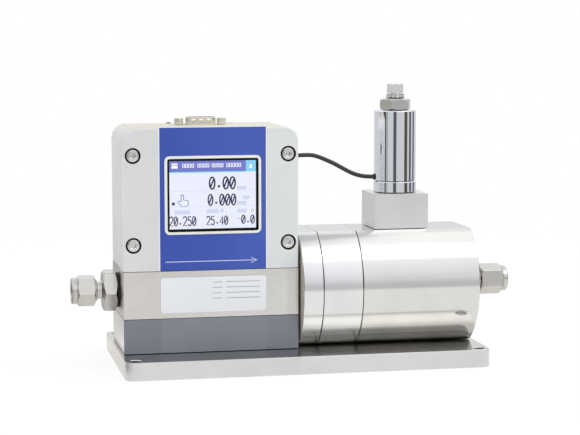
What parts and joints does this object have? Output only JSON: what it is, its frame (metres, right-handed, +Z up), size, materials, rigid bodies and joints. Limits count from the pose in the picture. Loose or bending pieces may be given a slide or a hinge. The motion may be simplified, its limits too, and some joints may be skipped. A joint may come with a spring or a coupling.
{
  "type": "mass flow controller",
  "caption": "Bench mass flow controller: a Coriolis meter with a colour display and a round solenoid valve, in line between two tube fittings on one base plate.",
  "frame": {"origin": "centre of the base plate's underside", "axes": "+Z up, +X along the flow from the inlet to the outlet, -Y towards the display side"},
  "size_m": [0.2606, 0.106, 0.161],
  "materials": {
    "base_plate": "bright bead-blasted stainless, polished top",
    "lower_block": "dark blue-grey, satin",
    "manifold": "fine ground stainless, warm",
    "housing": "light grey, fine blasted",
    "front_film": "blue printed film, satin",
    "label": "white film, blank",
    "bezel": "warm silver, satin",
    "display_glass": "clear",
    "display_module": "lit screen",
    "board": "green",
    "connector_metal": "tinned",
    "connector_insert": "white",
    "screws": "stainless",
    "valve_steel": "fine turned, near mirror",
    "fittings": "stainless, satin",
    "pilot_block": "ground stainless",
    "solenoid_chrome": "mirror",
    "inner_steel": "stainless",
    "copper": "copper winding",
    "filter": "sintered stainless",
    "rubber": "black",
    "cable": "black sheath"
  },
  "bodies": {
    "instrument": {"base_plate": "base_plate", "lower_block": "lower_block", "manifold_block": "manifold", "electronics_housing": "housing", "front_panel": "housing", "front_film": "front_film", "rating_label": "label", "display_bezel": "bezel", "display_glass": "display_glass", "display_module": "display_module", "main_board": "board", "connector_shell": "connector_metal", "jackscrew_left": "connector_metal", "jackscrew_right": "connector_metal", "connector_insert": "connector_insert", "cover_screw_1": "screws", "cover_screw_2": "screws", "cover_screw_3": "screws", "cover_screw_4": "screws", "tie_bolt_1": "screws", "tie_bolt_2": "screws", "tie_bolt_3": "screws", "tie_bolt_4": "screws", "valve_inlet_flange": "valve_steel", "valve_filter_section": "valve_steel", "valve_body": "valve_steel", "link_nipple": "valve_steel", "inlet_fitting": "fittings", "inlet_nut": "fittings", "inlet_ferrule": "fittings", "outlet_fitting": "fittings", "outlet_nut": "fittings", "outlet_ferrule": "fittings", "solenoid_nut": "fittings", "vent_plug": "fittings", "pilot_block": "pilot_block", "pilot_seat": "pilot_block", "solenoid_case": "solenoid_chrome", "solenoid_base_ring": "solenoid_chrome", "core_tube": "inner_steel", "temperature_sensor": "inner_steel", "brace_plate_inlet": "inner_steel", "brace_plate_outlet": "inner_steel", "flow_tube_front": "inner_steel", "flow_tube_rear": "inner_steel", "drive_magnet": "inner_steel", "pickoff_magnet_inlet": "inner_steel", "pickoff_magnet_outlet": "inner_steel", "coil_winding": "copper", "drive_coil": "copper", "pickoff_coil_inlet": "copper", "pickoff_coil_outlet": "copper", "filter_element": "filter", "inlet_seal": "rubber", "flange_o_ring": "rubber", "body_o_ring": "rubber", "cable_gland": "rubber", "signal_cable": "cable"},
    "plunger": {"valve_plunger": "inner_steel", "plunger_spring": "inner_steel"}
  },
  "joints": [
    {"name": "plunger_lift", "type": "slide", "parent": "instrument", "child": "plunger", "axis": [0, 0, 1], "range_m": [0, 0.001], "stiffness_N_per_m": 1500, "springref_m": -0.001, "deforming": ["plunger_spring"]}
  ]
}
